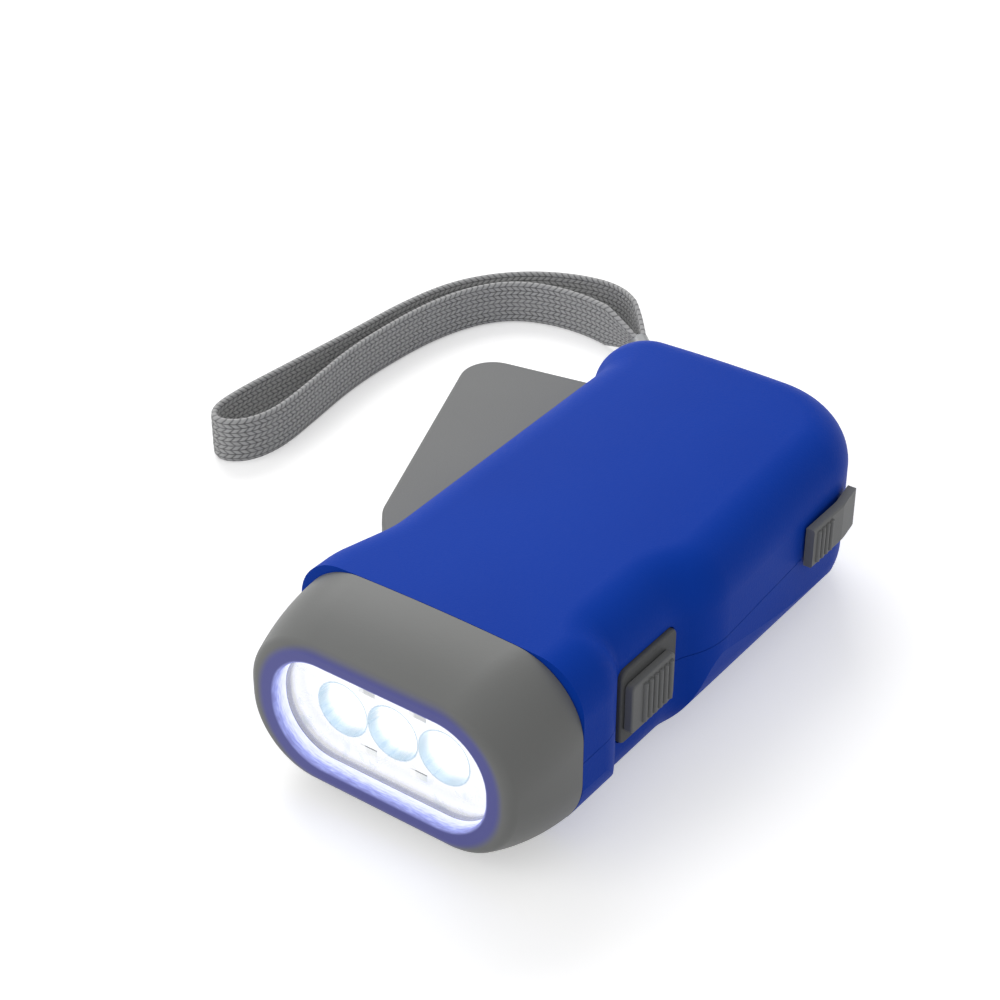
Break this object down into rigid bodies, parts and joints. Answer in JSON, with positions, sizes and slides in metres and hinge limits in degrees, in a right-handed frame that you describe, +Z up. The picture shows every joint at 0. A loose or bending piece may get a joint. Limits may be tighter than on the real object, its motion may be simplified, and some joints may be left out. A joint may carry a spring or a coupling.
{
  "type": "squeeze dynamo torch",
  "caption": "Hand-powered torch with a lamp hood, clear lens over LEDs, a swing-out squeeze lever, a slide switch, a lever lock and a woven wrist strap.",
  "frame": {"origin": "middle of the flat bottom face of the housing", "axes": "+Z up from the bottom face, the beam leaves toward -Y, +X is the switch side and -X the lever side"},
  "size_m": [0.1316, 0.1642, 0.0348],
  "materials": {
    "blue_shell": "moulded ABS, fine satin grain",
    "hood_grey": "moulded ABS, satin",
    "lever_grey": "moulded ABS, satin",
    "trim_grey": "moulded ABS, fine matt grain",
    "clear_lens": "clear polycarbonate, polished",
    "reflector_silver": "metallised plastic, mirror finish",
    "led_clear": "clear epoxy",
    "board_green": "solder mask over glass fibre",
    "steel": "drawn steel, zinc plated",
    "cell_steel": "pressed stainless steel",
    "core_steel": "stacked steel laminations",
    "magnet_dark": "sintered ferrite",
    "brass": "turned brass",
    "copper": "enamelled copper wire",
    "nylon_white": "moulded nylon",
    "black_plastic": "moulded plastic",
    "capacitor_sleeve": "shrink sleeve",
    "wire_red": "insulated wire",
    "wire_black": "insulated wire",
    "strap_grey": "woven herringbone webbing",
    "cord_grey": "braided cord",
    "crimp_grey": "moulded plastic, glossy"
  },
  "bodies": {
    "casing": {"upper_shell": "blue_shell", "lower_shell": "blue_shell", "lamp_hood": "hood_grey", "lens": "clear_lens", "reflector": "reflector_silver", "led_left": "led_clear", "led_middle": "led_clear", "led_right": "led_clear", "led_board": "board_green", "lever_pin": "steel", "drive_axle": "steel", "rotor_bush_lower": "brass", "rotor_bush_upper": "brass", "stator_core": "core_steel", "coil_bobbin": "nylon_white", "coil_winding": "copper", "circuit_board": "board_green", "cell_holder": "black_plastic", "button_cell_lower": "cell_steel", "button_cell_upper": "cell_steel", "cell_contact": "steel", "rectifier_diodes": "black_plastic", "storage_capacitor": "capacitor_sleeve", "switch_plate": "trim_grey", "switch_body": "black_plastic", "case_screws": "steel", "led_wire_positive": "wire_red", "led_wire_negative": "wire_black", "coil_wire_start": "wire_black", "coil_wire_end": "wire_red", "strap_webbing": "strap_grey", "strap_crimp": "crimp_grey", "strap_cord": "cord_grey"},
    "lever": {"squeeze_lever": "lever_grey", "lever_spring": "steel"},
    "drive": {"drive_pinion": "nylon_white", "drive_gear": "nylon_white"},
    "rotor": {"rotor_shaft": "steel", "rotor_pinion": "nylon_white", "rotor_hub": "nylon_white", "rotor_magnet": "magnet_dark"},
    "switch": {"switch_thumb": "trim_grey"},
    "lock": {"lever_lock": "trim_grey"}
  },
  "joints": [
    {"name": "lever_hinge", "type": "hinge", "parent": "casing", "child": "lever", "pos_m": [-0.0185, -0.026, 0.0174], "axis": [0, 0, -1], "range_deg": [0, 21], "stiffness_Nm_per_rad": 0.3, "springref_deg": -20.05, "deforming": ["lever_spring"]},
    {"name": "drive_spin", "type": "hinge", "parent": "casing", "child": "drive", "pos_m": [0.00225, 0.01472, 0.0174], "axis": [0, 0, 1], "range_deg": [0, 150.5]},
    {"name": "rotor_spin", "type": "hinge", "parent": "casing", "child": "rotor", "pos_m": [0.01413, 0.02304, 0.0142], "axis": [0, 0, -1], "range_deg": [0, 451]},
    {"name": "switch_slide", "type": "slide", "parent": "casing", "child": "switch", "axis": [0, 1, 0], "range_m": [0, 0.002]},
    {"name": "lock_slide", "type": "slide", "parent": "casing", "child": "lock", "axis": [0, -1, 0], "range_m": [0, 0.003]}
  ],
  "couplings": [
    {"joint": "drive_spin", "follows": "lever_hinge", "ratio": 7.1429},
    {"joint": "rotor_spin", "follows": "lever_hinge", "ratio": 21.429}
  ]
}
